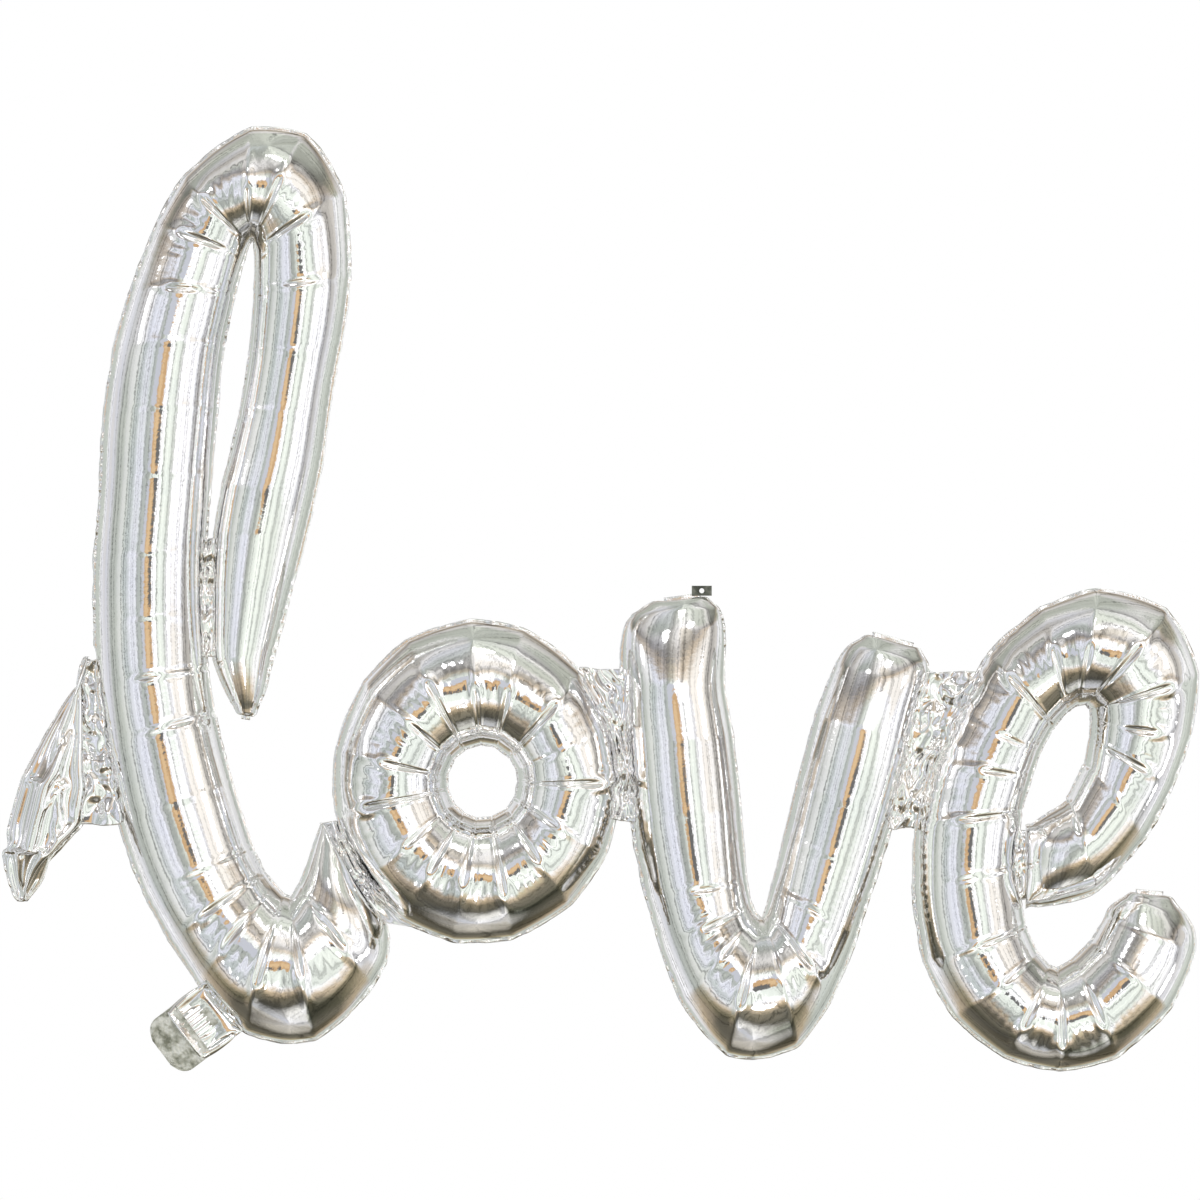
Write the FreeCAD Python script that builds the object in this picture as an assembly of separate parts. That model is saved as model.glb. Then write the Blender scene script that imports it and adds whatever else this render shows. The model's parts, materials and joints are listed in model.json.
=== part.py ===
import FreeCAD, Part
import math
import os

# Foil script balloon: four tube letters joined into one word, standing in the XZ plane.
# X runs along the word, Z is up, the front faces -Y. The origin is the bottom centre of
# the word. Every tube is a front and a back foil that meet at the seam plane Y = 0.
# All lengths are in millimetres.

V = FreeCAD.Vector

FOIL = 0.7          # foil thickness as modelled; the real film is far thinner
FILM = 0.5          # valve film thickness as modelled
WELD = 1.4          # two foils heat-sealed together
CLEAR = 0.6         # gap that keeps neighbouring pieces apart
SEAM_GAP = 0.05     # each foil stops this far from the seam plane
ARC_STEPS = 12      # spans across a half tube
RAIL_STEPS = 2      # spans between two stations along a tube

# A station is a cross-section of a tube: the inner seam point (x, z), the outer seam
# point (x, z) and the half depth of the inflated tube there. Each letter turns left as
# it is written, so the inner seam is on the left of the stroke.
LETTER_L = [
    (-285, 283, -278, 282, 4), (-296, 301, -269, 301, 13), (-307, 331, -261, 331, 22),
    (-308, 374, -250, 371, 29), (-307, 415, -239, 413, 34), (-302, 455, -229, 455, 37),
    (-292, 495, -221, 495, 36), (-282, 543, -214, 547, 35), (-275, 599, -203, 606, 36),
    (-273, 641, -200, 659, 37), (-273, 655, -208, 711, 41), (-274, 661, -234, 745, 44),
    (-277, 663, -274, 751, 44), (-280, 662, -316, 727, 40), (-284, 650, -350, 678, 37),
    (-293, 614, -374, 617, 40), (-301, 571, -387, 567, 43), (-306, 519, -394, 515, 44),
    (-311, 463, -397, 459, 43), (-315, 407, -401, 403, 43), (-315, 355, -401, 350, 43),
    (-312, 310, -398, 295, 44), (-303, 265, -389, 235, 45), (-288, 211, -376, 179, 46),
    (-274, 169, -356, 131, 46), (-262, 150, -326, 81, 47), (-254, 142, -296, 41, 50),
    (-248, 138, -250, 19, 50), (-242, 141, -204, 39, 46), (-237, 153, -178, 74, 40),
    (-230, 173, -170, 95, 34), (-221, 197, -172, 118, 16),
]
ENTRY = [
    (-409, 330, -407, 330, 2), (-424, 303, -409, 301, 8), (-443, 266, -408, 259, 16),
    (-462, 226, -408, 217, 21), (-472, 188, -418, 185, 22), (-474, 161, -437, 162, 16),
    (-467, 140, -451, 141, 7), (-463, 134, -459, 134, 2),
]
LETTER_V = [
    (82, 378, 53, 374, 6), (97, 366, 28, 360, 17), (102, 343, 20, 338, 29),
    (101, 303, 21, 302, 39), (108, 259, 24, 255, 42), (113, 211, 28, 206, 43),
    (116, 166, 35, 161, 43), (119, 138, 46, 118, 44), (123, 127, 62, 71, 47),
    (127, 123, 88, 26, 50), (130, 122, 126, 5, 50), (134, 123, 166, 27, 50),
    (138, 132, 192, 75, 46), (145, 162, 211, 126, 43), (157, 213, 230, 185, 41),
    (168, 259, 244, 235, 41), (182, 303, 255, 283, 37), (198, 334, 263, 318, 25),
    (219, 347, 252, 338, 6),
]
LETTER_E = [
    (342, 194, 342, 130, 12), (358, 203, 368, 134, 31), (379, 218, 402, 147, 38),
    (391, 243, 434, 183, 38), (395, 265, 459, 230, 37), (395, 281, 475, 282, 40),
    (393, 290, 476, 331, 44), (388, 293, 450, 369, 47), (382, 292, 406, 382, 46),
    (376, 288, 362, 370, 42), (366, 278, 324, 342, 38), (356, 262, 297, 302, 36),
    (346, 235, 270, 247, 38), (338, 206, 256, 195, 40), (334, 175, 254, 159, 40),
    (336, 139, 256, 119, 41), (343, 107, 267, 75, 42), (352, 90, 294, 35, 43),
    (360, 82, 330, 10, 42), (368, 80, 370, 1, 41), (379, 86, 410, 9, 41),
    (392, 98, 448, 39, 40), (402, 113, 472, 79, 36), (411, 129, 474, 111, 23),
    (430, 141, 452, 139, 5),
]

# Letter o is a ring: an oval outer seam around a small round hole.
RING_CENTRE = (-97, 230)
RING_OUTER = (112, 127)      # half width and half height of the outer seam
RING_HOLE_CENTRE = (-92, 230)
RING_HOLE = 30               # radius of the inner seam
RING_DEPTH = 46              # half depth of the ring tube
RING_STATIONS = 24

# Fill neck and valve: a short tail at the bottom of letter l, with its own axes. "Along"
# runs from the fold line out to the mouth, "across" runs along the fold line.
NECK_FOLD = (-304.3, 46.5)           # middle of the fold line
NECK_ALONG = (-0.8, -0.6)
NECK_ACROSS = (0.6, -0.8)
NECK_SHAPE = [                       # distance along, half width, half depth
    (0.6, 25, 1.6), (8, 26, 4.5), (16, 26, 8), (26, 25, 9), (33, 24, 8),
]
VALVE_START, VALVE_END = 14, 53      # reach of the valve film along the neck
VALVE_HALF_WIDTH = 22
STRAW_RADIUS = 3.2                   # open channel for a 6 mm straw
LIP_LENGTH, LIP_HALF_WIDTH = 8.4, 8  # the two flaps that close on the straw channel
LIP_GAP = 0.05

# Flat welded webs between tubes, as (x, z) corners.
WEBS = {
    "web_fin": [(-313, 350), (-309.3, 350), (-309.3, 425), (-313, 425)],
    "web_entry": [(-395.3, 262), (-406.4, 258), (-406.4, 219), (-409, 208), (-387.3, 208)],
    "web_l_o": [(-218.1, 198.1), (-169.1, 120.3), (-171.2, 119), (-220.1, 196.8)],
    "web_o_v": [(18.3, 190), (25.4, 190), (20.3, 275), (13.2, 275)],
    "web_v_e": [(230.2, 178.9), (247.1, 174.3), (282.7, 306.3), (265.8, 310.9)],
    "web_crossbar": [(337.5, 142), (341.4, 142), (341.4, 190), (337.5, 190)],
}

# Hang tab on top of letter v.
TAB_CENTRE = (83, 382.6)
TAB_HALF_WIDTH, TAB_HALF_HEIGHT = 8, 4
TAB_HOLE_RADIUS = 2


def spaced(stations, steps):
    """The stations with smooth ones added between them, as a cubic through each value."""
    knots = [0.0]
    for p, q in zip(stations, stations[1:]):
        knots.append(knots[-1] + math.sqrt(math.dist(p, q)))
    last = len(stations) - 1
    slopes = []
    for i in range(last + 1):
        lo, hi = max(i - 1, 0), min(i + 1, last)
        span = knots[hi] - knots[lo]
        slopes.append([(b - a) / span for a, b in zip(stations[lo], stations[hi])])
    out = []
    for i in range(last):
        width = knots[i + 1] - knots[i]
        for step in range(steps):
            u = step / steps
            weights = (2 * u**3 - 3 * u**2 + 1, 3 * u**2 - 2 * u**3,
                       width * (u**3 - 2 * u**2 + u), width * (u**3 - u**2))
            ends = zip(stations[i], stations[i + 1], slopes[i], slopes[i + 1])
            out.append([sum(w * v for w, v in zip(weights, four)) for four in ends])
    return out + [list(stations[last])]


def ring_stations():
    """Cross-sections of the ring, once round and back to the start."""
    out = []
    for i in range(RING_STATIONS + 1):
        turn = 2 * math.pi * i / RING_STATIONS
        c, s = math.cos(turn), math.sin(turn)
        out.append((RING_HOLE_CENTRE[0] + RING_HOLE * c, RING_HOLE_CENTRE[1] + RING_HOLE * s,
                    RING_CENTRE[0] + RING_OUTER[0] * c, RING_CENTRE[1] + RING_OUTER[1] * s,
                    RING_DEPTH))
    return out


def half_arc(station, side, inset):
    """Points of a half ellipse from the inner to the outer seam, inset by a thickness."""
    xi, zi, xo, zo, depth = station
    half = math.hypot(xo - xi, zo - zi) / 2
    middle = V((xi + xo) / 2, 0, (zi + zo) / 2)
    across = V(xo - xi, 0, zo - zi).normalize() * (half - inset)
    outward = V(0, side, 0) * (depth - inset)
    points = []
    for i in range(ARC_STEPS + 1):
        turn = math.pi * i / ARC_STEPS
        points.append(middle - across * math.cos(turn) + outward * math.sin(turn))
    return points


def skin(stations, side, inset):
    """The smooth surface of a half tube, inset by a thickness."""
    surface = Part.BSplineSurface()
    surface.interpolate([half_arc(s, side, inset) for s in stations])
    return surface


def borders(surface, ring):
    """Boundary curves of a half tube: its two seams and, unless it is a ring, its ends."""
    u0, u1, v0, v1 = surface.bounds()
    curves = [surface.vIso(v0), surface.vIso(v1)]
    if not ring:
        curves += [surface.uIso(u0), surface.uIso(u1)]
    return [c.toShape() for c in curves]


def strip(a, b):
    """The flat face between two border curves that run the same way."""
    ends = [Part.makeLine(p.Point, q.Point) for p, q in zip(a.Vertexes, b.Vertexes)]
    return Part.Face(Part.Wire(Part.sortEdges([a, ends[0], b, ends[1]])[0]))


def half_tube(stations, side, ring=False):
    """One foil of a tube: the shell on the front (side -1) or the back (side 1)."""
    run = spaced(stations, RAIL_STEPS)
    outer, inner = skin(run, side, 0), skin(run, side, FOIL)
    faces = [outer.toShape(), inner.toShape()]
    for a, b in zip(borders(outer, ring), borders(inner, ring)):
        faces.append(Part.makeRuledSurface(a, b) if ring else strip(a, b))
    shell = Part.makeShell(faces)
    shell.sewShape()
    solid = Part.makeSolid(shell)
    if solid.Volume < 0:
        solid.reverse()
    solid.translate(V(0, side * SEAM_GAP, 0))
    return solid


def flat(corners, thickness):
    """A flat sheet on the seam plane with the given (x, z) corners."""
    points = [V(x, -thickness / 2, z) for x, z in corners]
    return Part.Face(Part.makePolygon(points + points[:1])).extrude(V(0, thickness, 0))


def neck_point(along, across):
    """The (x, z) place at a distance along and across the neck."""
    return (NECK_FOLD[0] + along * NECK_ALONG[0] + across * NECK_ACROSS[0],
            NECK_FOLD[1] + along * NECK_ALONG[1] + across * NECK_ACROSS[1])


def neck_stations():
    """Cross-sections of the neck from the fold line to its mouth."""
    return [neck_point(a, -w) + neck_point(a, w) + (d,) for a, w, d in NECK_SHAPE]


def neck_sheet(start, end, half_width, y_near, y_far):
    """A flat sheet in the neck between two distances along it."""
    corners = [neck_point(start, -half_width), neck_point(start, half_width),
               neck_point(end, half_width), neck_point(end, -half_width)]
    points = [V(x, y_near, z) for x, z in corners]
    return Part.Face(Part.makePolygon(points + points[:1])).extrude(V(0, y_far - y_near, 0))


def valve_film(side):
    """One valve film: a flat sheet with half of the straw channel pressed into it."""
    length = VALVE_END - VALVE_START
    x, z = neck_point(VALVE_START, 0)
    axis = V(NECK_ALONG[0], 0, NECK_ALONG[1])
    tube = Part.makeCylinder(STRAW_RADIUS + FILM, length, V(x, 0, z), axis)
    bore = Part.makeCylinder(STRAW_RADIUS, length, V(x, 0, z), axis)
    reach = side * 2 * STRAW_RADIUS
    half = tube.common(neck_sheet(VALVE_START, VALVE_END, VALVE_HALF_WIDTH, 0, reach))
    sheet = neck_sheet(VALVE_START, VALVE_END, VALVE_HALF_WIDTH, 0, side * FILM)
    return sheet.fuse(half).cut(bore).removeSplitter().Solids


def valve_lip(side):
    """One flap that lies over the inner end of the straw channel."""
    start = VALVE_START - CLEAR - LIP_LENGTH
    return neck_sheet(start, VALVE_START - CLEAR, LIP_HALF_WIDTH,
                      side * LIP_GAP, side * (LIP_GAP + FILM))


def hang_tab():
    """The small holed tab on letter v."""
    x, z = TAB_CENTRE
    w, h = TAB_HALF_WIDTH, TAB_HALF_HEIGHT
    sheet = flat([(x - w, z - h), (x + w, z - h), (x + w, z + h), (x - w, z + h)], WELD)
    hole = Part.makeCylinder(TAB_HOLE_RADIUS, WELD, V(x, -WELD / 2, z), V(0, 1, 0))
    return sheet.cut(hole)


def save(name, shape):
    """Write one node."""
    shape.exportStep("parts/" + name + ".step")


os.makedirs("parts", exist_ok=True)
TUBES = {"l": LETTER_L, "entry": ENTRY, "o": ring_stations(), "v": LETTER_V, "e": LETTER_E,
         "neck": neck_stations()}
for tube, stations in TUBES.items():
    save(tube + "_front_foil", half_tube(stations, -1, tube == "o"))
    save(tube + "_back_foil", half_tube(stations, 1, tube == "o"))
for web, corners in WEBS.items():
    save(web, flat(corners, WELD))
for name, side in {"front": -1, "back": 1}.items():
    save("valve_film_" + name, Part.makeCompound(valve_film(side)))
    save("valve_lip_" + name, valve_lip(side))
save("hang_tab", hang_tab())
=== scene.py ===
import bpy
import json
import math
import numpy as np
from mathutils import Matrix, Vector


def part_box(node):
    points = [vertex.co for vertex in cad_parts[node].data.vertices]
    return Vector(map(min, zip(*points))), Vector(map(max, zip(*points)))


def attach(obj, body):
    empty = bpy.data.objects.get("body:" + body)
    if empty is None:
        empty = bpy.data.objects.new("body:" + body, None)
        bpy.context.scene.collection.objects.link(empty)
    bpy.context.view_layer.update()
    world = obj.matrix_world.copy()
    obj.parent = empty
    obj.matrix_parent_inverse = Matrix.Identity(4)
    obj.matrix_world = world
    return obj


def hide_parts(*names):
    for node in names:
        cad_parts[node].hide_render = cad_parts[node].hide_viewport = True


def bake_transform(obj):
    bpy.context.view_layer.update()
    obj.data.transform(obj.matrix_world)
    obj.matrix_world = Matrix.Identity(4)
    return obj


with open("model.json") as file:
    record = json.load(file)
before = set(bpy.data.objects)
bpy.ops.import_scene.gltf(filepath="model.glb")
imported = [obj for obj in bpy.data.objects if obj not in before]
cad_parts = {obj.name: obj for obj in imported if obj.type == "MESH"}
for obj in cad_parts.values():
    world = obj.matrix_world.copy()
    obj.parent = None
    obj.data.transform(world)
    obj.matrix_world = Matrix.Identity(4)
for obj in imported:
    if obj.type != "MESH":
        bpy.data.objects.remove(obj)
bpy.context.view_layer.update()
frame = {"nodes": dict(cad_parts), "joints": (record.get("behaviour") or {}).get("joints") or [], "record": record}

MM = 0.001
RECORD = frame["record"]["physics"]
SECTIONS = RECORD["foil_sections_mm"]
RING = RECORD["foil_ring_mm"]
NECK = RECORD["neck_mm"]
ROUND = 64      # points round a tube before the last smoothing
SPACING = 3.0   # mm between cross-sections before the last smoothing
STEPS = 160
# First seed of the random draws for each kind of piece.
TUBE_SEED, BORDER_SEED, WEB_SEED, INNER_WEB_SEED, FILM_SEED = 100, 200, 300, 400, 500


# ---------- cross-sections of the tubes, in mm: inner seam x z, outer seam x z, half depth

SUBSTEPS = 16               # smooth cross-sections between two stations
RING_STATIONS = 49
NECK_ROOT = (-7, 25, 2.5)   # distance along, half width, half depth
FOLD, ALONG, ACROSS = (np.array(NECK[k]) for k in ("fold", "along", "across"))


def smooth_run(stations, steps):
    """Stations with smooth ones between them."""
    p = np.array(stations, float)
    gaps = np.sqrt(np.linalg.norm(np.diff(p, axis=0), axis=1))
    t = np.concatenate([[0], np.cumsum(gaps)])
    lo = np.maximum(np.arange(len(p)) - 1, 0)
    hi = np.minimum(np.arange(len(p)) + 1, len(p) - 1)
    slope = (p[hi] - p[lo]) / (t[hi] - t[lo])[:, None]
    u = (np.arange(steps) / steps)[:, None]
    out = []
    for i, w in enumerate(gaps):
        out.append((2*u**3 - 3*u**2 + 1) * p[i] + (3*u**2 - 2*u**3) * p[i + 1]
                   + w * (u**3 - 2*u**2 + u) * slope[i] + w * (u**3 - u**2) * slope[i + 1])
    return np.vstack(out + [p[-1:]])


def even_run(stations, closed):
    """Cross-sections at an even spacing along the middle of the tube."""
    run = smooth_run(stations, SUBSTEPS)
    middle = (run[:, 0:2] + run[:, 2:4]) / 2
    s = np.concatenate([[0], np.cumsum(np.linalg.norm(np.diff(middle, axis=0), axis=1))])
    n = 4 * int(round(s[-1] / SPACING / 4))
    at = np.linspace(0, s[-1], n + 1)
    run = np.stack([np.interp(at, s, run[:, k]) for k in range(5)], 1)
    return run[:-1] if closed else run


def ring_stations():
    """Cross-sections of the ring of letter o, which starts and ends at the same place."""
    turn = np.linspace(0, 2 * math.pi, RING_STATIONS)
    (cx, cz), (hx, hz), (ax, az) = RING["centre"], RING["hole_centre"], RING["outer"]
    hole = RING["hole"]
    return np.stack([hx + hole*np.cos(turn), hz + hole*np.sin(turn), cx + ax*np.cos(turn),
                     cz + az*np.sin(turn), np.full(RING_STATIONS, float(RING["depth"]))], 1)


def neck_stations():
    """Cross-sections of the fill neck, from its root inside letter l to its mouth."""
    rows = [NECK_ROOT] + [tuple(r) for r in NECK["sections"]]
    return [(*(FOLD + a*ALONG - w*ACROSS), *(FOLD + a*ALONG + w*ACROSS), d) for a, w, d in rows]


def tube(run, around):
    """Points of a smooth tube, [along, round, xyz]. Round 0 is the inner seam, the front comes
    first, and half way round is the outer seam."""
    inner, outer = run[:, 0:2], run[:, 2:4]
    half = np.linalg.norm(outer - inner, axis=1) / 2
    middle = (inner + outer) / 2
    across = (outer - inner) / (2 * half)[:, None]
    turn = np.linspace(0, np.pi, 181)
    points = np.zeros((len(run), around, 3))
    for i in range(len(run)):
        x, y = -half[i] * np.cos(turn), run[i, 4] * np.sin(turn)
        s = np.concatenate([[0], np.cumsum(np.hypot(np.diff(x), np.diff(y)))])
        at = np.linspace(0, s[-1], around // 2 + 1)
        px, py = np.interp(at, s, x), np.interp(at, s, y)
        px, py = np.concatenate([px, px[-2:0:-1]]), np.concatenate([-py, py[-2:0:-1]])
        points[i, :, 0] = middle[i, 0] + across[i, 0] * px
        points[i, :, 2] = middle[i, 1] + across[i, 1] * px
        points[i, :, 1] = py
    return points


# ---------- cloth simulation: foil that can't stretch, blown up by gas

GAS = 0.03              # mm the gas pushes per step
DRIFT = 0.9             # share of the last step's motion that goes on
HOLD = 0.004            # share of the way back to the smooth tube per step
REACH = 9.0             # mm a point may move
SEAM_FLAT = 0.8         # share of its depth a seam keeps per step
# How hard each kind of link is pulled: how strongly it resists being pressed shorter, as a share
# of how it resists being stretched, and the share of its error that is put right at once.
NEXT_ALONG = (0.7, 1.0)
NEXT_ROUND = (0.6, 1.0)
SLANTED = (0.3, 0.8)
FAR_ALONG = (0.90, 0.4)
FAR_ROUND = (0.25, 0.3)
FAR_STEPS = (2, 4)      # points bridged by the far links, which keep foil from folding

CREASE = 0.85           # half width of a crease, in cross-sections
CREASE_AREA = 1.77      # area under a crease's bell curve, per half width
CREASE_ENDS = (0.60, 0.82)              # where a crease ends: 0 inner seam, 1 outer seam
CREASE_FADE = 0.22      # over how far it fades out before that
CREASE_DEPTH = (0.6, 5.0)               # mm, and mm per root of the extra length in it
PLAIN_EXTRA = 0.002     # extra length of the foil, as a share: everywhere,
BASE_EXTRA = 0.012      # gathered in the creases of a straight piece,
BEND_EXTRA = 0.12       # more of it per unit of bend,
RIM_EXTRA = 0.02        # along the puckered rim at the outer seam,
CRUMPLE_EXTRA = 0.06    # and where a web pulls at the tube
RIM, RIM_FADE, SEAM_FADE = 0.80, 0.14, 0.03     # where the rim starts and how it fades
PUCKER, PUCKER_HALF = 1.1, 40           # mm the rim puckers, on a tube of this half width
CRUMPLE, CRUMPLE_SOFT = 1.2, 0.6        # mm, and firmness lost where a web pulls
GAPS = ([0, 0.08, 0.35, 0.7], [54, 46, 38, 30])     # bend, and mm between creases at it
FACETS = ([0.55, 0.85], [1.0, 0.45])    # place between the seams, and flatness of a facet
FACET_BENDS = ([0, 0.12], [0.3, 1.0])   # bend, and flatness of a facet


def length(d):
    """Lengths of a grid of vectors."""
    return np.sqrt(np.einsum("ijk,ijk->ij", d, d))


def pull(a, b, rest, squeeze, soft):
    """Moves both ends of each link towards its rest length; a short link pushes back less."""
    d = b - a
    span = length(d) + 1e-9
    f = (span - rest) / span
    f = np.where(f > 0, f, f * squeeze) * (0.5 * soft)
    d *= f[..., None]
    a += d
    b -= d


def links_along(x, step, rest, squeeze, soft, closed):
    """Pulls on the links along the tube, in turns that share no point."""
    n = len(x)
    for start in range(2):
        shift = start * step
        y, r, q = (np.roll(g, -shift, axis=0) if closed else g[shift:]
                   for g in (x, rest, squeeze))
        m = (n // (2 * step)) * 2 * step if closed else len(y)
        for k in range(step):
            b = y[k + step:m:2 * step]
            a = y[k:m:2 * step][:len(b)]
            rows = slice(k, m, 2 * step)
            pull(a, b, r[rows][:len(b)], q[rows][:len(b)], soft)
        if closed:
            x[:] = np.roll(y, shift, axis=0)


def links_round(x, step, rest, squeeze, soft):
    """Pulls on the links round the tube."""
    m = (x.shape[1] // (2 * step)) * 2 * step
    for start in range(2):
        y = np.roll(x, -start * step, axis=1)
        r = np.roll(rest, -start * step, axis=1)
        for k in range(step):
            pull(y[:, k:m:2 * step], y[:, k + step:m:2 * step], r[:, k:m:2 * step], squeeze, soft)
        x[:] = np.roll(y, start * step, axis=1)


def links_slanted(x, way, rest, squeeze, soft, closed):
    """Pulls on the links across each mesh of the grid."""
    for start in range(2):
        y = np.roll(x, -start, axis=0) if closed else x[start:]
        r = np.roll(rest, -start, axis=0) if closed else rest[start:]
        ends = y[1::2]
        b = np.roll(ends, -way, axis=1)
        pull(y[0::2][:len(b)], b, r[0::2][:len(b)], squeeze, soft)
        y[1::2] = np.roll(b, way, axis=1)
        if closed:
            x[:] = np.roll(y, start, axis=0)


def along_gap(x, step, closed):
    """Vectors from each point to the one a few cross-sections on."""
    return np.roll(x, -step, axis=0) - x if closed else x[step:] - x[:-step]


def normals(x, closed):
    """Unit vectors out of a tube."""
    if closed:
        du = np.roll(x, -1, axis=0) - np.roll(x, 1, axis=0)
    else:
        du = np.gradient(x, axis=0)
    n = np.cross(np.roll(x, -1, axis=1) - np.roll(x, 1, axis=1), du)
    return n / (np.linalg.norm(n, axis=2, keepdims=True) + 1e-9)


def over(values, step, closed, pick):
    """The mean or the least of a value over each link."""
    ends = [np.roll(values, -k, axis=0) for k in range(step + 1)]
    found = pick(np.stack(ends), axis=0)
    return found if closed else found[:-step]


def inflate(smooth, extra, firm, start, closed):
    """Relaxes a foil tube under gas. extra is how much longer the foil is than the smooth tube;
    firm is 1 where the foil resists folding and 0 on a crease."""
    more = 1 + over(extra, 1, closed, np.mean)
    holds = NEXT_ALONG[0] * over(firm, 1, closed, np.min)
    plain = length(along_gap(smooth, 1, closed))
    along = plain * more
    roundly = length(np.roll(smooth, -1, axis=1) - smooth)
    slants = {}
    for way in (1, -1):
        other = np.roll(smooth, -way, axis=1)
        d = np.roll(other, -1, axis=0) - smooth if closed else other[1:] - smooth[:-1]
        rest = roundly if closed else roundly[:-1]
        slants[way] = length(d) * np.sqrt((along**2 + rest**2) / (plain**2 + rest**2))
    stiff = {}
    for step in FAR_STEPS:
        d = length(along_gap(smooth, step, closed))
        stiff[step] = (d * (1 + over(extra, step, closed, np.mean)),
                       FAR_ALONG[0] * over(firm, step, closed, np.min),
                       length(np.roll(smooth, -step, axis=1) - smooth))
    x, old = start.copy(), start.copy()
    seams = [0, x.shape[1] // 2]
    for _ in range(STEPS):
        drift = (x - old) * DRIFT
        old = x.copy()
        x += drift + GAS * normals(x, closed)
        for _ in range(2):
            links_along(x, 1, along, holds, NEXT_ALONG[1], closed)
            links_round(x, 1, roundly, *NEXT_ROUND)
            for way, rest in slants.items():
                links_slanted(x, way, rest, *SLANTED, closed)
        for step, (far_along, far_holds, far_round) in stiff.items():
            links_along(x, step, far_along, far_holds, FAR_ALONG[1], closed)
            links_round(x, step, far_round, *FAR_ROUND)
        x += HOLD * (smooth - x)
        x[:, seams, 1] *= SEAM_FLAT
        away = x - smooth
        far = np.linalg.norm(away, axis=2, keepdims=True)
        x = smooth + away * np.minimum(1, REACH / (far + 1e-9))
        if not closed:
            x[0], x[-1] = smooth[0], smooth[-1]
    return x


def bend_of(run, closed):
    """How much longer the outer side is than the middle, smoothed along the tube."""
    def speed(p):
        if closed:
            return np.linalg.norm(np.roll(p, -1, 0) - np.roll(p, 1, 0), axis=1)
        return np.linalg.norm(np.gradient(p, axis=0), axis=1) * 2
    bend = speed(run[:, 2:4]) / (speed((run[:, 0:2] + run[:, 2:4]) / 2) + 1e-6) - 1
    padded = np.pad(bend, 4, mode="wrap" if closed else "edge")
    return np.clip(np.convolve(padded, np.ones(9) / 9, "valid"), 0, 0.9)


def crease_rows(bend, closed, rng):
    """The cross-sections where the foil folds: closer together where the tube bends."""
    n, at, rows = len(bend), 0.0, []
    while at < n:
        rows.append(at)
        gap = np.interp(bend[int(at)], *GAPS) / SPACING
        at += gap * rng.uniform(0.8, 1.2)
    last = n if closed else n - 1
    return np.append(np.round(np.array(rows) * last / at), last).astype(int)


def faceted(smooth, rows, s, bend, closed):
    """The tube with straight pieces between the creases, less so towards the outer seam and
    where the tube bends little, and not at all in the first and last piece."""
    u = np.arange(len(smooth))
    k = np.clip(np.searchsorted(rows, u, side="right") - 1, 0, len(rows) - 2)
    w = ((u - rows[k]) / (rows[k + 1] - rows[k]))[:, None, None]
    straight = smooth[rows[k]] * (1 - w) + smooth[rows[k + 1] % len(smooth)] * w
    share = np.interp(s, *FACETS)[None, :, None]
    inside = closed | ((k > 0) & (k < len(rows) - 2))
    inside = inside * np.interp(bend, *FACET_BENDS)
    return smooth + share * inside[:, None, None] * (straight - smooth)


def creased(smooth, run, closed, rng, crumples):
    """The rest shape of a foil tube, its extra length and firmness per point, and a start shape
    with creases across the inner side. All the extra length lies in the creases, so the foil
    between them stays flat."""
    n, around = smooth.shape[:2]
    bend = bend_of(run, closed)
    s = np.abs(((np.arange(around) / around + 0.5) % 1) - 0.5) * 2    # 0 inner, 1 outer seam
    rows = crease_rows(bend, closed, rng)
    rest = faceted(smooth, rows, s, bend, closed)
    outward = normals(rest, closed)
    x = rest.copy()
    u = np.arange(n)[:, None]
    front = (np.arange(around) <= around // 2)[None, :]
    extra, firm = np.full((n, around), PLAIN_EXTRA), np.ones((n, around))
    for row, following in zip(rows[:-1], rows[1:]):
        if row == 0 and not closed:
            continue
        d = np.abs(u - row)
        if closed:
            d = np.minimum(d, n - d)
        for side in (front, ~front):
            fade = np.clip((rng.uniform(*CREASE_ENDS) - s) / CREASE_FADE, 0, 1)[None, :]
            fold = np.exp(-(d / CREASE)**2) * fade * side
            amount = BASE_EXTRA + BEND_EXTRA * bend[row]
            extra += amount * (following - row) / (CREASE * CREASE_AREA) * fold
            firm = np.minimum(firm, 1 - fold)
            depth = CREASE_DEPTH[0] + CREASE_DEPTH[1] * math.sqrt(amount)
            x -= outward * (depth * fold)[..., None]
    pucker = np.convolve(rng.normal(0, 1, n + 2), (0.3, 0.7, 0.3), "valid")[:, None]
    rim = np.clip((s - RIM) / RIM_FADE, 0, 1) * np.clip((1.0 - s) / SEAM_FADE, 0.3, 1)
    extra += RIM_EXTRA * rim
    half = np.linalg.norm(run[:, 2:4] - run[:, 0:2], axis=1)[:, None] / 2
    x += outward * (PUCKER * np.clip(half / PUCKER_HALF, 0, 1) ** 2 * pucker * rim)[..., None]
    for centre, radius in crumples:
        away = np.linalg.norm(smooth[:, :, [0, 2]] - np.array(centre), axis=2)
        near = np.clip(1 - away / radius, 0, 1)
        extra = extra + CRUMPLE_EXTRA * near
        firm = firm * (1 - CRUMPLE_SOFT * near)
        x += outward * (crumpled(rng, n, around, CRUMPLE) * near)[..., None]
    return rest, extra, firm, x


MEETING = (-188, 152)       # where l and o come closest
MEETING_WAY = (0.88, 0.47)  # from l to o there
DENT, DENT_REACH = 1.3, 14.0


def give_way(x, depth):
    """Dents a tube where l and o come closest, so that they don't cut at the bend's limits."""
    away = np.exp(-((x[..., 0] - MEETING[0]) ** 2 + (x[..., 2] - MEETING[1]) ** 2)
                  / DENT_REACH ** 2)
    x[..., 0] += MEETING_WAY[0] * depth * away
    x[..., 2] += MEETING_WAY[1] * depth * away


# ---------- meshes

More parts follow.
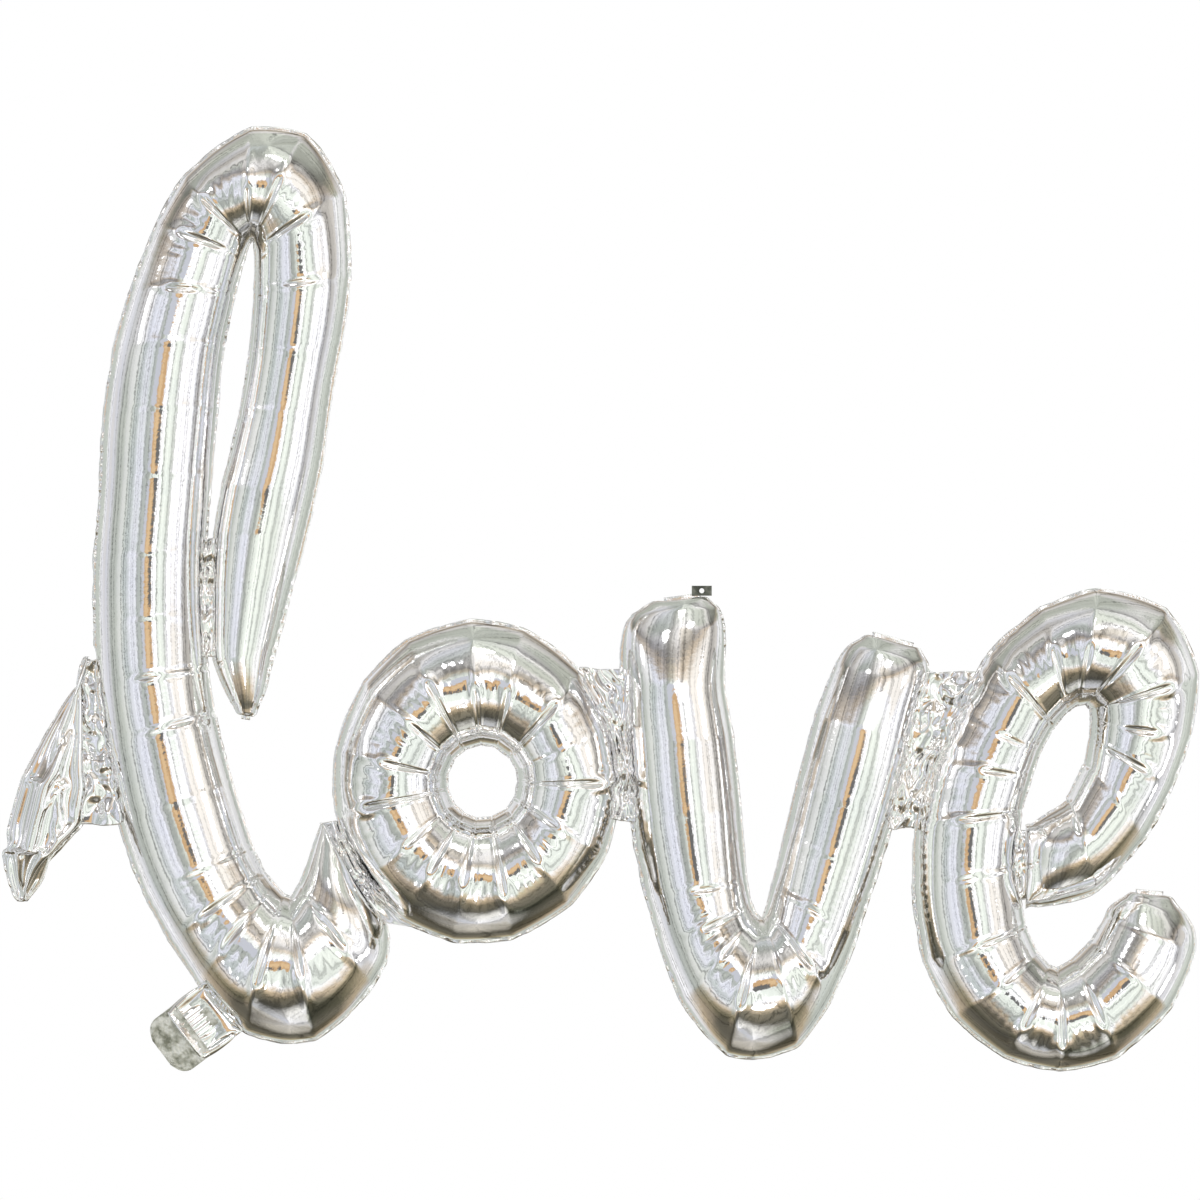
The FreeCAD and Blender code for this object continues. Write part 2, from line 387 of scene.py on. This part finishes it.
def linked(name, data):
    """A new object in the scene."""
    obj = bpy.data.objects.new(name, data)
    bpy.context.scene.collection.objects.link(obj)
    return obj


def depthwise(like):
    """Unit vectors along the depth of the balloon, one per point."""
    sideways = np.zeros_like(like)
    sideways[:, :, 1] = 1
    return sideways


def doubled(x, axis, wrap):
    """Twice as many points along one axis, on a smooth curve through the old ones."""
    y = np.moveaxis(x, axis, 0)
    if wrap:
        between = (9 * (y + np.roll(y, -1, 0)) - np.roll(y, 1, 0) - np.roll(y, -2, 0)) / 16
        out = np.empty((2 * len(y),) + y.shape[1:])
    else:
        p = np.concatenate([2*y[:1] - y[1:2], y, 2*y[-1:] - y[-2:-1]])
        between = (9 * (p[1:-2] + p[2:-1]) - p[:-3] - p[3:]) / 16
        out = np.empty((2 * len(y) - 1,) + y.shape[1:])
    out[0::2], out[1::2] = y, between
    return np.moveaxis(out, 0, axis)


def closed_tube(name, x, ring, material):
    """A closed mesh from a grid [along, round, xyz] in mm. A tube that isn't a ring gets caps."""
    n, around = x.shape[:2]
    rows = np.arange(n if ring else n - 1)[:, None] * around
    ahead = (rows + around) % (n * around)
    j = np.arange(around)[None, :]
    k = (j + 1) % around
    quads = np.stack([rows + j, rows + k, ahead + k, ahead + j], -1).reshape(-1, 4).tolist()
    if not ring:
        first = list(range(around))
        last = [(n - 1) * around + q for q in range(around)]
        quads += [first[::-1], last]
    mesh = bpy.data.meshes.new(name)
    mesh.from_pydata((x.reshape(-1, 3) * MM).tolist(), [], quads)
    mesh.polygons.foreach_set("use_smooth", [True] * len(mesh.polygons))
    mesh.materials.append(material)
    mesh.update()
    return linked(name, mesh)


def ribbon(name, centres, sideways, thickness, ring, material):
    """A thin closed strip. centres and sideways are [along, across, xyz]; the strip gets
    its thickness along the sideways vectors."""
    shape = np.concatenate([centres + sideways * thickness / 2,
                            (centres - sideways * thickness / 2)[:, ::-1]], axis=1)
    return closed_tube(name, shape, ring, material)


def crumpled(rng, n, m, size):
    """Random bumps on a grid, smoothed a little."""
    z = rng.normal(0, 1, (n, m))
    for axis in (0, 1):
        z = (np.roll(z, 1, axis) + 2*z + np.roll(z, -1, axis)) / 4
    return z * size * 2


# ---------- the pieces

BORDER_WIDTHS = {"outer": 2.8, "inner": 1.6}    # mm a crimped border stands out of its seam
LEAST_WIDTH = 0.6       # mm it stands out where another letter is close,
NEAR, NEARING = 3, 2.5  # mm away, and mm over which it narrows
BORDER_THICK = 0.35
END_WIDTH, END_THICK = 3.0, 0.5
TUCK = 1.5              # mm a border reaches back into its tube
KNOT_SPACING = 14       # cross-sections between changes of the crimp
CRIMP = 2.2             # mm the crimp waves to either side, at most
END_ROWS = 60           # cross-sections from a tube's end to a place well inside it


def near_points(points, others):
    """Distance in mm from each point to the nearest of the others, in the seam plane."""
    d = points[:, None, :] - others[None, :, :]
    return np.sqrt((d ** 2).sum(-1)).min(1)


def seam_border(name, tube_points, ring, others, rng, material):
    """The narrow crimped strips outside the two seams. Each is narrower where others are near."""
    n, around = tube_points.shape[:2]
    pieces = []
    for label, row in (("outer", around // 2), ("inner", 0)):
        seam = tube_points[:, row]
        facing = tube_points[:, around // 2] - tube_points[:, 0]
        facing[:, 1] = 0
        facing /= np.linalg.norm(facing, axis=1, keepdims=True)
        if label == "inner":
            facing = -facing
        room = near_points(seam[:, [0, 2]] + facing[:, [0, 2]] * 2, others) if len(others) else 99
        limit = np.clip((room - NEAR) / NEARING, LEAST_WIDTH, BORDER_WIDTHS[label])
        ragged = 0.8 + 0.2 * np.convolve(rng.uniform(-1, 1, n + 8), np.ones(9) / 3, "valid")
        width = limit * ragged
        wave = np.cumsum(rng.normal(0, 0.5, n))
        knots = np.arange(0, n + KNOT_SPACING, KNOT_SPACING)
        crimp = np.interp(np.arange(n), knots, rng.uniform(0, 1, len(knots)))
        wave = CRIMP * crimp ** 2 * np.sin(wave + np.arange(n) * 0.8)
        across = np.linspace(0, 1, 4)[None, :]
        reach = across[..., None] * (width[:, None, None] + TUCK) - TUCK
        centres = seam[:, None, :] + facing[:, None, :] * reach
        centres[:, :, 1] += wave[:, None] * across ** 1.5
        pieces.append(ribbon(f"{name}_{label}_seam", centres, depthwise(centres), BORDER_THICK,
                             ring, material))
    return pieces


def end_seam(name, tube_points, last, material):
    """The narrow welded strip across the end of a tube."""
    end, inside = (-1, -END_ROWS) if last else (0, END_ROWS)
    inner, outer = tube_points[end, 0], tube_points[end, tube_points.shape[1] // 2]
    away = np.array([inner[2] - outer[2], 0, outer[0] - inner[0]])
    away *= np.sign(away @ (inner - tube_points[inside].mean(0))) / np.linalg.norm(away)
    t = np.linspace(0, 1, 14)[:, None, None]
    line = inner * (1 - t) + outer * t
    centres = line + away * (np.linspace(-TUCK, END_WIDTH, 4)[None, :, None])
    centres[:, :, 1] += 0.5 * np.sin(9 * t[..., 0]) * np.linspace(0, 1, 4)
    return ribbon(name, centres, depthwise(centres), END_THICK, False, material)


WEB_GRID = 4.5          # mm between the points that are crumpled
WEB_TUCK = 2.0          # mm a web reaches into a tube
WEB_CRUMPLE, WEB_SLIDE = 2.6, 0.9       # mm the crumples reach in depth and in height
WEB_THICK = 0.6
STRETCH_ROOM = 12       # mm of seam kept above and below a stretch


def at_height(seam, zs):
    """Points of a seam at the given heights, for a stretch that rises or falls steadily."""
    order = np.argsort(seam[:, 2])
    return np.stack([np.interp(zs, seam[order, 2], seam[order, k]) for k in range(3)], 1)


def stretch(seam, low, high, left, right):
    """The part of a seam inside a box of the seam plane."""
    inside = ((seam[:, 2] > low - STRETCH_ROOM) & (seam[:, 2] < high + STRETCH_ROOM)
              & (seam[:, 0] > left) & (seam[:, 0] < right))
    return seam[inside]


def web(name, a, b, low, high, rng, material):
    """A crumpled welded sheet between two seams, tucked into each tube."""
    rows = max(8, int((high - low) / WEB_GRID))
    zs = np.linspace(low, high, rows)
    pa, pb = at_height(a, zs), at_height(b, zs)
    gap = pb - pa
    gap /= np.linalg.norm(gap, axis=1, keepdims=True) + 1e-9
    pa, pb = pa - gap * WEB_TUCK, pb + gap * WEB_TUCK
    columns = max(5, int(np.linalg.norm(pb - pa, axis=1).max() / WEB_GRID))
    t = np.linspace(0, 1, columns)[None, :, None]
    sheet = pa[:, None, :] * (1 - t) + pb[:, None, :] * t
    edge = np.sin(np.pi * t[..., 0]) ** 0.5
    sheet[:, :, 1] = crumpled(rng, rows, columns, WEB_CRUMPLE) * edge
    sheet[:, :, 2] += crumpled(rng, rows, columns, WEB_SLIDE) * edge
    for axis in (0, 1, 0, 1):
        sheet = doubled(sheet, axis, False)
    return ribbon(name, sheet, depthwise(sheet), WEB_THICK, False, material)


def bend_web(piece, b_points, joint_name):
    """Finds the web's joint and the side of it that the web lies on, and bakes the web's placement into its mesh.
    """
    joint = next(j for j in frame["joints"] if j["name"] == joint_name)
    axis, pivot = np.array(joint["axis"], float), np.array(joint["pos_m"], float)
    away = np.cross(axis, (0, 1, 0))
    away /= np.linalg.norm(away)
    if (b_points.mean(0) * MM - pivot) @ away < 0:
        away = -away
    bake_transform(piece)


# ---------- materials

class Nodes:
    """Short hand for building a node tree."""

    def __init__(self, tree):
        self.tree = tree
        tree.nodes.clear()

    def add(self, kind, inputs=None, **settings):
        """A node with its settings, and its inputs set to values or linked to sockets."""
        node = self.tree.nodes.new(kind)
        for key, value in settings.items():
            setattr(node, key, value)
        for key, value in (inputs or {}).items():
            if isinstance(value, bpy.types.NodeSocket):
                self.tree.links.new(value, node.inputs[key])
            else:
                node.inputs[key].default_value = value
        return node

    def calc(self, op, a, b=0.0):
        """The result of a sum on two numbers."""
        return self.add("ShaderNodeMath", {0: a, 1: b}, operation=op).outputs[0]

    def ramp(self, fac, stops):
        """A colour that runs through stops of place and colour."""
        node = self.add("ShaderNodeValToRGB", {0: fac})
        colours = node.color_ramp.elements
        while len(colours) > 1:
            colours.remove(colours[-1])
        colours[0].position, colours[0].color = stops[0][0], (*stops[0][1], 1)
        for place, colour in stops[1:]:
            colours.new(place).color = (*colour, 1)
        return node.outputs[0]

    def mix(self, fac, a, b, **settings):
        """Two colours blended."""
        return self.add("ShaderNodeMix", {0: fac, 6: a, 7: b}, data_type="RGBA",
                        **settings).outputs[2]


def grey(v):
    return (v, v, v)


def new_material(name):
    """A material and its empty node tree."""
    material = bpy.data.materials.new(name)
    material.use_nodes = True
    return material, Nodes(material.node_tree)


def foil_material(name, rough, bump, crinkle):
    """Metallised film: a mirror with faint rub marks and fine crinkles."""
    material, n = new_material(name)
    where = n.add("ShaderNodeTexCoord").outputs["Object"]
    rub = n.add("ShaderNodeTexNoise", {"Vector": where, "Scale": 22.0, "Detail": 4.0})
    fine = n.add("ShaderNodeTexNoise", {"Vector": where, "Scale": crinkle, "Detail": 2.0})
    tint = n.ramp(rub.outputs["Fac"], [(0.35, (0.90, 0.90, 0.915)), (0.65, (0.955, 0.95, 0.945))])
    dull = n.ramp(rub.outputs["Fac"], [(0.3, grey(rough)), (0.7, grey(rough * 2.2))])
    relief = n.add("ShaderNodeBump", {"Height": fine.outputs["Fac"], "Strength": bump,
                                      "Distance": 0.0006})
    shader = n.add("ShaderNodeBsdfPrincipled", {"Base Color": tint, "Metallic": 1.0,
                                                "Roughness": dull, "Normal": relief.outputs[0]})
    n.add("ShaderNodeOutputMaterial", {"Surface": shader.outputs[0]})
    return material


def film_material(name, dark, middle, light):
    """Matte film with a soft grain and mottling in three tones."""
    material, n = new_material(name)
    where = n.add("ShaderNodeTexCoord").outputs["Object"]
    mottle = n.add("ShaderNodeTexNoise", {"Vector": where, "Scale": 130.0, "Detail": 5.0})
    grain = n.add("ShaderNodeTexNoise", {"Vector": where, "Scale": 900.0, "Detail": 2.0})
    tint = n.ramp(mottle.outputs["Fac"], [(0.34, dark), (0.48, middle), (0.60, light)])
    relief = n.add("ShaderNodeBump", {"Height": grain.outputs["Fac"], "Strength": 0.4,
                                      "Distance": 0.0004})
    shader = n.add("ShaderNodeBsdfPrincipled", {"Base Color": tint, "Roughness": 0.42,
                                                "Metallic": 0.25, "Normal": relief.outputs[0]})
    n.add("ShaderNodeOutputMaterial", {"Surface": shader.outputs[0]})
    return material


FOIL = foil_material("silver foil", 0.035, 0.09, 380.0)
BORDER = foil_material("crimped foil border", 0.08, 0.35, 700.0)
CRUMPLED = foil_material("crumpled foil web", 0.05, 0.15, 160.0)
FILM = film_material("valve film", (0.26, 0.27, 0.21), (0.56, 0.57, 0.50), (0.84, 0.85, 0.80))
DARK_TAB = film_material("dark tab", (0.05, 0.055, 0.045), (0.11, 0.12, 0.10),
                         (0.22, 0.23, 0.20))


# ---------- build

def middle_of(node):
    """The middle of a CAD node in the seam plane, in mm."""
    low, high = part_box(node)
    return tuple((np.array(low) + np.array(high))[[0, 2]] / 2 / MM)


def stand_for(piece, slot, *nodes):
    """The CAD nodes that the piece stands for are hidden."""
    if nodes:
        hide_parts(*nodes)


WEB_NODES = {"l_o": "web_l_o", "o_v": "web_o_v", "v_e": "web_v_e", "entry": "web_entry"}
spots = {key: middle_of(node) for key, node in WEB_NODES.items()}
# Each tube: label, cross-sections, CAD nodes, and the places and radii where webs crumple it.
TUBES = {
    "letter_l": ("l", SECTIONS["letter_l"], ["l_front_foil", "l_back_foil"],
                 [(spots["l_o"], 55), (spots["entry"], 45)]),
    "entry_stroke": ("entry", SECTIONS["entry_stroke"],
                     ["entry_front_foil", "entry_back_foil"], [(spots["entry"], 14)]),
    "letter_o": ("o", ring_stations(), ["o_front_foil", "o_back_foil"],
                 [(spots["l_o"], 50), (spots["o_v"], 50)]),
    "letter_v": ("v", SECTIONS["letter_v"], ["v_front_foil", "v_back_foil"],
                 [(spots["o_v"], 60), (spots["v_e"], 55)]),
    "letter_e": ("e", SECTIONS["letter_e"], ["e_front_foil", "e_back_foil"],
                 [(spots["v_e"], 55)]),
    "fill_neck": ("neck", neck_stations(), ["neck_front_foil", "neck_back_foil"], []),
}

blown = {}
for seed, (body, (_, stations, _, crumples)) in enumerate(TUBES.items()):
    closed = body == "letter_o"
    random = np.random.default_rng(TUBE_SEED + seed)
    run = even_run(stations, closed)
    smooth = tube(run, ROUND)
    rest, extra, firm, start = creased(smooth, run, closed, random, crumples)
    shape = inflate(rest, extra, firm, start, closed)
    blown[body] = doubled(doubled(shape, 0, closed), 1, True)

give_way(blown["letter_l"], -DENT)
give_way(blown["letter_o"], DENT)

NECK_BEND = (-3.5, 5)   # mm along the neck at either end of a bend; the points there are worked out but not used
OUTER = {body: x[:, x.shape[1] // 2] for body, x in blown.items()}
INNER = {body: x[:, 0] for body, x in blown.items()}

for seed, (body, (label, _, nodes, _)) in enumerate(TUBES.items()):
    ring = body == "letter_o"
    skin = closed_tube(label + "_foil", blown[body], ring, FOIL)
    stand_for(skin, "foil", *nodes)
    if body == "fill_neck":
        start, end = ((p[0] * MM, 0, p[1] * MM) for p in (FOLD + a * ALONG for a in NECK_BEND))
        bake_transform(skin)
        continue
    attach(skin, body)
    others = np.concatenate([OUTER[b][::3, [0, 2]] for b in TUBES
                             if b not in (body, "fill_neck")])
    random = np.random.default_rng(BORDER_SEED + seed)
    for strip in seam_border(label, blown[body], ring, others, random, BORDER):
        stand_for(strip, "foil")
        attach(strip, body)

for label, body, last in (("l_start_seam", "letter_l", False), ("v_start_seam", "letter_v", False),
                          ("v_end_seam", "letter_v", True), ("e_end_seam", "letter_e", True)):
    strip = end_seam(label, blown[body], last, BORDER)
    stand_for(strip, "foil")
    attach(strip, body)

# Welded webs. Each one lies between two stretches of seam, from a low to a high end (mm).
l_out, l_in = OUTER["letter_l"], INNER["letter_l"]
o_out, v_out, e_out = OUTER["letter_o"], OUTER["letter_v"], OUTER["letter_e"]
exit_cap = np.linspace(l_in[-1], l_out[-1], 12)
entry_in = OUTER["entry_stroke"]
half_l, half_v = len(l_out) // 2, len(v_out) // 2
WEBS = [
    ("web_sheet_l_o", "web_l_o", exit_cap, stretch(o_out, 100, 215, -400, -110),
     112, 199, "l_o_bend"),
    ("web_sheet_o_v", "web_o_v", stretch(o_out, 190, 330, -40, 60),
     stretch(v_out[:half_v], 190, 330, 0, 60), 199, 321, "o_v_bend"),
    ("web_sheet_v_e", "web_v_e", stretch(v_out[half_v:], 185, 335, 180, 300),
     stretch(e_out, 185, 335, 240, 310), 192, 318, "v_e_bend"),
    ("web_sheet_entry", "web_entry", stretch(l_out[half_l:], 185, 340, -420, -370),
     stretch(entry_in, 190, 340, -430, -395), 196, 328, "entry_flap"),
]
for seed, (label, node, a, b, low, high, joint) in enumerate(WEBS):
    piece = web(label, a, b, low, high, np.random.default_rng(WEB_SEED + seed), CRUMPLED)
    stand_for(piece, "foil", node)
    bend_web(piece, b, joint)

# Two webs inside a letter: l's hanging tip to its stem, and e's crossbar to its stem.
fin = stretch(l_in[:half_l], 325, 430, -330, -280)
stem = stretch(l_in[half_l:], 325, 430, -330, -280)
e_stem = stretch(INNER["letter_e"], 135, 195, 320, 345)
e_stem = e_stem[e_stem[:, 0] < 341]
cross_cap = np.linspace(INNER["letter_e"][0], OUTER["letter_e"][0], 12)
for label, node, body, a, b, low, high in (
        ("web_sheet_fin", "web_fin", "letter_l", stem, fin, 330, 425),
        ("web_sheet_crossbar", "web_crossbar", "letter_e", e_stem, cross_cap, 136, 192)):
    piece = web(label, a, b, low, high, np.random.default_rng(INNER_WEB_SEED), CRUMPLED)
    stand_for(piece, "foil", node)
    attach(piece, body)


FILM_ROWS, FILM_COLUMNS = 46, 52
FILM_REACH = (24, 56)           # mm along the neck
FILM_HALF_WIDTH = 25.0
FILM_ROUNDED, FILM_CORNER = 42, 15.5    # where the mouth begins to round off, and over how far
FILM_CRUMPLE = 0.8
FILM_THICK, FILM_PUFF = 0.6, 11.0       # mm at the edges, and more in the middle
FILM_FLATTENS = ([24, 34, 50, 56], [1.0, 0.75, 0.35, 0.05])     # mm along, share of the puff


def valve_film():
    """The flattened film end of the neck: two welded sheets with a rounded mouth."""
    rng = np.random.default_rng(FILM_SEED)
    reach = np.linspace(*FILM_REACH, FILM_ROWS)
    corner = np.clip((reach - FILM_ROUNDED) / FILM_CORNER, 0, 1) ** 2.6
    wide = FILM_HALF_WIDTH * np.clip(1 - corner, 0.02, 1) ** 0.5
    t = np.linspace(-1, 1, FILM_COLUMNS)
    place = FOLD + reach[:, None, None] * ALONG + (wide[:, None] * t)[..., None] * ACROSS
    sheet = np.zeros((FILM_ROWS, FILM_COLUMNS, 3))
    sheet[:, :, 0], sheet[:, :, 2] = place[..., 0], place[..., 1]
    sheet[:, :, 1] = crumpled(rng, FILM_ROWS, FILM_COLUMNS, FILM_CRUMPLE)
    round_off = np.clip(1 - t**2, 0, 1)[None, :] ** 0.5
    thick = FILM_THICK + FILM_PUFF * round_off * np.interp(reach, *FILM_FLATTENS)[:, None]
    return ribbon("valve_film_end", sheet, depthwise(sheet) * thick[..., None], 1.0, False, FILM)


film = valve_film()
stand_for(film, "valve_film", "valve_film_front", "valve_film_back")
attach(film, "fill_neck")

# The CAD pieces that stay as they are.
for name, material in (("valve_lip_front", FILM), ("valve_lip_back", FILM),
                       ("hang_tab", DARK_TAB)):
    data = frame["nodes"][name].data
    data.materials.clear()
    data.materials.append(material)


# ---------- stage: a pale floor, a soft studio round the object, and the camera

def floor():
    """A pale floor far below, which the foil doesn't mirror."""
    mesh = bpy.data.meshes.new("floor")
    low, left, right, near, far = -0.9, -14, 14, -14, 6.8
    mesh.from_pydata([(left, near, low), (right, near, low), (right, far, low), (left, far, low)],
                     [], [(0, 1, 2, 3)])
    material, n = new_material("pale floor")
    shader = n.add("ShaderNodeBsdfPrincipled", {"Base Color": (0.95, 0.95, 0.95, 1),
                                                "Roughness": 0.8, "Emission Strength": 0.2,
                                                "Emission Color": (1, 1, 1, 1)})
    n.add("ShaderNodeOutputMaterial", {"Surface": shader.outputs[0]})
    mesh.materials.append(material)
    obj = linked("floor", mesh)
    obj.visible_glossy = False


# Round patches in the studio: turn, height, half width in degrees, colour. Lamps make the
# creases sparkle; the warm and dark patches straight in front draw streaks on every ridge.
WARM, DARK, LAMP = (0.66, 0.43, 0.23), (0.17, 0.17, 0.165), (3.0, 3.0, 3.0)
PATCHES = [(-9, 8, 9, (0.62, 0.64, 0.70)), (-1, 2, 8, WARM), (-3, 3, 4, (0.80, 0.57, 0.33)),
           (4, -3, 4.5, DARK)] + [
    (turn, height, wide, LAMP) for turn, height, wide in (
        (-24, 42, 5), (28, 48, 6), (60, 12, 5), (-70, 20, 4), (12, -34, 4), (-45, -30, 3),
        (85, -20, 5), (5, 66, 5), (16, 14, 5))]

# The studio's colours: degrees of turn round the object and of height, and the colour there.
ROUND_STOPS = [
    (-180, grey(.98)), (-150, grey(.74)), (-128, grey(.94)), (-108, (.70, .71, .74)),
    (-85, grey(.60)), (-62, grey(.94)), (-50, (.74, .76, .81)), (-30, (.84, .86, .92)),
    (-14, grey(.58)), (-9, grey(1.05)), (6, grey(1.4)), (16, grey(1.35)), (18, grey(.62)),
    (20, grey(1.3)), (33, grey(1.25)), (35, grey(.60)), (38, grey(1.2)), (70, grey(1.08)),
    (82, grey(.44)), (95, grey(.72)), (118, grey(.94)), (140, (.69, .69, .67)),
    (158, grey(.78)), (180, grey(.98))]
UP_STOPS = [
    (-90, grey(.90)), (-74, (.70, .69, .64)), (-62, (.12, .115, .09)), (-46, (.20, .18, .13)),
    (-36, (.66, .54, .38)), (-27, grey(1.05)), (20, grey(1.05)), (26, (.66, .58, .48)),
    (31, (.40, .38, .35)), (39, (.74, .72, .68)), (62, (.92, .91, .88)), (90, (.95, .94, .92))]
LINE_STOPS = [(0.30, grey(.45)), (0.40, grey(1)), (0.60, grey(1)), (0.72, grey(1.2))]
MOOD_STOPS = [(0.36, (.70, .74, .68)), (0.47, grey(.98)), (0.58, (1, 1, 1.03)),
              (0.68, (.86, .82, .76))]
WAVER = 0.25    # radians the upright bands waver


def studio():
    """A soft studio painted on the world by direction: turn round the object and height."""
    world = bpy.data.worlds.new("studio")
    bpy.context.scene.world = world
    world.use_nodes = True
    n = Nodes(world.node_tree)
    ray = n.add("ShaderNodeTexCoord").outputs["Generated"]
    waver = n.add("ShaderNodeTexNoise", {"Vector": ray, "Scale": 3.0, "Detail": 1.0})
    x, y, z = n.add("ShaderNodeSeparateXYZ", {0: ray}).outputs
    turn = n.calc("ARCTAN2", x, n.calc("MULTIPLY", y, -1.0))
    turn = n.calc("ADD", turn, n.calc("MULTIPLY", n.calc("SUBTRACT", waver.outputs["Fac"], 0.5),
                                      WAVER))
    turn = n.calc("ADD", n.calc("DIVIDE", turn, 2 * math.pi), 0.5)
    height = n.calc("ADD", n.calc("DIVIDE", n.calc("ARCSINE", z), math.pi), 0.5)

    around = n.ramp(turn, [(a / 360 + 0.5, c) for a, c in ROUND_STOPS])
    up = n.ramp(height, [(a / 180 + 0.5, c) for a, c in UP_STOPS])
    front = n.mix(1.0, around, up, blend_type="MULTIPLY")
    lines = n.add("ShaderNodeTexNoise", {"W": turn, "Scale": 100.0, "Detail": 1.0},
                  noise_dimensions="1D")
    shade = n.ramp(lines.outputs["Fac"], LINE_STOPS)
    front = n.mix(1.0, front, shade, blend_type="MULTIPLY")
    clouds = n.add("ShaderNodeTexNoise", {"Vector": ray, "Scale": 1.7, "Detail": 0.0})
    mood = n.ramp(clouds.outputs["Fac"], MOOD_STOPS)
    front = n.mix(1.0, front, mood, blend_type="MULTIPLY")
    for turned, raised, wide, colour in PATCHES:
        a, b = math.radians(turned), math.radians(raised)
        aim = (math.sin(a) * math.cos(b), -math.cos(a) * math.cos(b), math.sin(b))
        close = n.add("ShaderNodeVectorMath", {0: ray, 1: aim}, operation="DOT_PRODUCT")
        lit = n.calc("GREATER_THAN", close.outputs["Value"], math.cos(math.radians(wide)))
        front = n.mix(lit, front, (*colour, 1))
    seen = n.add("ShaderNodeLightPath").outputs["Is Camera Ray"]
    final = n.mix(seen, front, (1, 1, 1, 1))
    sky = n.add("ShaderNodeBackground", {0: final, 1: 1.0})
    n.add("ShaderNodeOutputWorld", {0: sky.outputs[0]})


floor()
studio()
CAMERA_PLACE = (0.0016, -4.2, 0.3752)   # straight in front, far away
camera = linked("camera", bpy.data.cameras.new("camera"))
camera.data.sensor_width, camera.data.lens = 36.0, 157.5
camera.location = CAMERA_PLACE
camera.rotation_euler = (math.radians(90), 0, 0)
bpy.context.scene.camera = camera
bpy.context.scene.view_settings.view_transform = "Standard"
